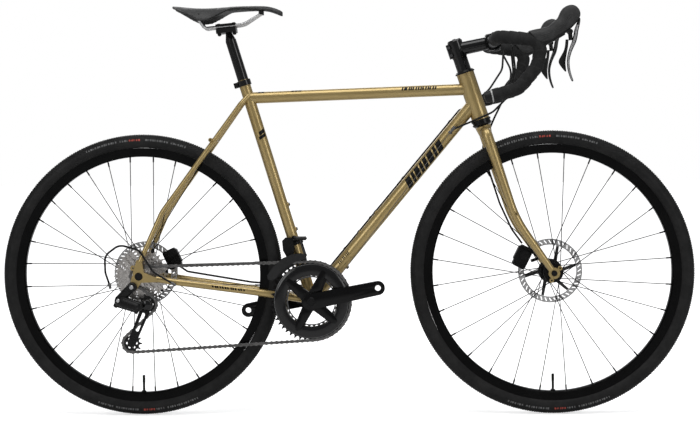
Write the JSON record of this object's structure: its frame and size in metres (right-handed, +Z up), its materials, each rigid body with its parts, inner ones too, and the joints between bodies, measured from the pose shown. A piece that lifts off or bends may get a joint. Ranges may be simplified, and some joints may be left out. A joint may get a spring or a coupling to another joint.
{
  "type": "road bicycle",
  "caption": "Road bicycle with a steel diamond frame, drop bar, hydraulic disc brakes, spoked wheels and a derailleur drivetrain; no pedals fitted.",
  "frame": {"origin": "on the ground, midway between the two axles, in the bicycle's middle plane", "axes": "+X forward, +Z up, drive side towards -Y"},
  "size_m": [1.722, 0.4572, 1.0234],
  "materials": {
    "paint": "metallic satin",
    "black_alloy": "black anodised",
    "rim_black": "gloss black anodised",
    "steel": "bright",
    "alloy": "satin",
    "chain_steel": "oiled",
    "tyre": "matte",
    "tape": "padded wrap",
    "hood": "matte",
    "saddle": "matte",
    "plastic": "matte",
    "hose": "gloss",
    "pad": "sintered",
    "bolt": "dark",
    "crank": "gloss black anodised"
  },
  "bodies": {
    "frame": {"frame": "paint", "headset": "black_alloy", "bottom_bracket": "black_alloy", "seat_collar": "black_alloy", "bottle_bolts": "bolt", "rear_axle": "black_alloy", "rear_caliper": "black_alloy", "rd_mount": "black_alloy", "fd_mount": "black_alloy", "control_lines": "hose", "chain": "chain_steel"},
    "seatpost": {"seatpost": "black_alloy", "saddle_clamp": "black_alloy", "saddle_rails": "steel", "saddle_shell": "plastic", "saddle_cover": "saddle"},
    "steering": {"fork": "paint", "stem": "black_alloy", "stem_faceplate": "black_alloy", "stem_bolts": "bolt", "headset_spacers": "black_alloy", "handlebar": "black_alloy", "bar_tape": "tape", "lever_brackets": "plastic", "hood_covers": "hood", "front_axle": "black_alloy", "front_caliper": "black_alloy"},
    "front_wheel": {"front_tyre": "tyre", "front_rim": "rim_black", "front_spokes": "bolt", "front_hub": "black_alloy", "front_rotor": "steel"},
    "rear_wheel": {"rear_tyre": "tyre", "rear_rim": "rim_black", "rear_spokes": "bolt", "rear_hub": "black_alloy", "rear_rotor": "steel"},
    "cassette": {"freehub": "alloy", "cassette": "steel"},
    "crank": {"crank_right": "crank", "crank_left": "crank", "big_ring": "black_alloy", "small_ring": "black_alloy"},
    "rd_outer_link": {"rd_outer_link": "black_alloy"},
    "rd_inner_link": {"rd_inner_link": "black_alloy"},
    "rd_knuckle": {"rd_p_knuckle": "black_alloy"},
    "rd_cage": {"rd_cage": "black_alloy"},
    "rd_guide_pulley": {"rd_guide_pulley": "plastic"},
    "rd_tension_pulley": {"rd_tension_pulley": "plastic"},
    "fd_cage": {"fd_cage": "steel"},
    "left_lever_block": {"left_lever_block": "plastic"},
    "left_brake_lever": {"left_brake_lever": "black_alloy"},
    "left_shift_paddle": {"left_shift_paddle": "plastic"},
    "right_lever_block": {"right_lever_block": "plastic"},
    "right_brake_lever": {"right_brake_lever": "black_alloy"},
    "right_shift_paddle": {"right_shift_paddle": "plastic"},
    "front_pad_left": {"front_pad_left": "pad"},
    "front_pad_right": {"front_pad_right": "pad"},
    "rear_pad_left": {"rear_pad_left": "pad"},
    "rear_pad_right": {"rear_pad_right": "pad"}
  },
  "joints": [
    {"name": "steer", "type": "hinge", "parent": "frame", "child": "steering", "pos_m": [0.34078, 0, 0.72133], "axis": [-0.309, 0, 0.9511], "range_deg": [-60, 60], "deforming": ["control_lines"]},
    {"name": "seatpost_height", "type": "slide", "parent": "frame", "child": "seatpost", "axis": [-0.2907, 0, 0.9568], "range_m": [-0.06, 0.03], "stiffness_N_per_m": 20000},
    {"name": "front_wheel_spin", "type": "hinge", "parent": "steering", "child": "front_wheel", "pos_m": [0.51, 0, 0.351], "axis": [0, 1, 0], "continuous": true},
    {"name": "rear_wheel_spin", "type": "hinge", "parent": "frame", "child": "rear_wheel", "pos_m": [-0.51, 0, 0.351], "axis": [0, 1, 0], "continuous": true},
    {"name": "crank_spin", "type": "hinge", "parent": "frame", "child": "crank", "pos_m": [-0.086, 0, 0.286], "axis": [0, 1, 0], "continuous": true, "deforming": ["chain"]},
    {"name": "cassette_spin", "type": "hinge", "parent": "frame", "child": "cassette", "pos_m": [-0.51, 0, 0.351], "axis": [0, 1, 0], "continuous": true},
    {"name": "rd_shift", "type": "hinge", "parent": "frame", "child": "rd_outer_link", "pos_m": [-0.56015, -0.0773, 0.29277], "axis": [0.3966, 0.6501, 0.6481], "range_deg": [0, 50]},
    {"name": "rd_inner_link_turn", "type": "hinge", "parent": "frame", "child": "rd_inner_link", "pos_m": [-0.56524, -0.0659, 0.28445], "axis": [0.3966, 0.6501, 0.6481], "range_deg": [-0.1, 50.1]},
    {"name": "rd_knuckle_turn", "type": "hinge", "parent": "rd_outer_link", "child": "rd_knuckle", "pos_m": [-0.507, -0.096, 0.279], "axis": [0.3966, 0.6501, 0.6481], "range_deg": [-50.1, 0.1]},
    {"name": "rd_cage_swing", "type": "hinge", "parent": "rd_knuckle", "child": "rd_cage", "pos_m": [-0.49, -0.0725, 0.282], "axis": [0, 1, 0], "range_deg": [-25, 20]},
    {"name": "rd_guide_spin", "type": "hinge", "parent": "rd_cage", "child": "rd_guide_pulley", "pos_m": [-0.49, -0.0662, 0.282], "axis": [0, 1, 0], "continuous": true},
    {"name": "rd_tension_spin", "type": "hinge", "parent": "rd_cage", "child": "rd_tension_pulley", "pos_m": [-0.52991, -0.0662, 0.18596], "axis": [0, 1, 0], "continuous": true},
    {"name": "fd_swing", "type": "hinge", "parent": "frame", "child": "fd_cage", "pos_m": [-0.112, -0.03, 0.44], "axis": [1, 0, 0], "range_deg": [0, 7]},
    {"name": "left_brake", "type": "hinge", "parent": "steering", "child": "left_lever_block", "pos_m": [0.535, 0.205, 0.931], "axis": [0, 1, 0], "range_deg": [0, 18]},
    {"name": "left_lever_shift", "type": "hinge", "parent": "left_lever_block", "child": "left_brake_lever", "pos_m": [0.537, 0.205, 0.914], "axis": [-1, 0, 0], "range_deg": [0, 12]},
    {"name": "left_paddle_shift", "type": "hinge", "parent": "left_lever_block", "child": "left_shift_paddle", "pos_m": [0.537, 0.205, 0.914], "axis": [-1, 0, 0], "range_deg": [0, 15]},
    {"name": "right_brake", "type": "hinge", "parent": "steering", "child": "right_lever_block", "pos_m": [0.535, -0.205, 0.931], "axis": [0, 1, 0], "range_deg": [0, 18]},
    {"name": "right_lever_shift", "type": "hinge", "parent": "right_lever_block", "child": "right_brake_lever", "pos_m": [0.537, -0.205, 0.914], "axis": [1, 0, 0], "range_deg": [0, 12]},
    {"name": "right_paddle_shift", "type": "hinge", "parent": "right_lever_block", "child": "right_shift_paddle", "pos_m": [0.537, -0.205, 0.914], "axis": [1, 0, 0], "range_deg": [0, 15]},
    {"name": "front_pad_left_slide", "type": "slide", "parent": "steering", "child": "front_pad_left", "axis": [0, -1, 0], "range_m": [0, 0.00035]},
    {"name": "front_pad_right_slide", "type": "slide", "parent": "steering", "child": "front_pad_right", "axis": [0, 1, 0], "range_m": [0, 0.00035]},
    {"name": "rear_pad_left_slide", "type": "slide", "parent": "frame", "child": "rear_pad_left", "axis": [0, -1, 0], "range_m": [0, 0.00035]},
    {"name": "rear_pad_right_slide", "type": "slide", "parent": "frame", "child": "rear_pad_right", "axis": [0, 1, 0], "range_m": [0, 0.00035]}
  ],
  "couplings": [
    {"joint": "cassette_spin", "follows": "crank_spin", "ratio": 4.3636},
    {"joint": "rd_guide_spin", "follows": "crank_spin", "ratio": -4.3636},
    {"joint": "rd_tension_spin", "follows": "crank_spin", "ratio": 4.3636},
    {"joint": "rd_inner_link_turn", "follows": "rd_shift", "ratio": 1},
    {"joint": "rd_knuckle_turn", "follows": "rd_shift", "ratio": -1},
    {"joint": "front_pad_left_slide", "follows": "left_brake", "m_per_rad": 0.001},
    {"joint": "front_pad_right_slide", "follows": "left_brake", "m_per_rad": 0.001},
    {"joint": "rear_pad_left_slide", "follows": "right_brake", "m_per_rad": 0.001},
    {"joint": "rear_pad_right_slide", "follows": "right_brake", "m_per_rad": 0.001}
  ]
}
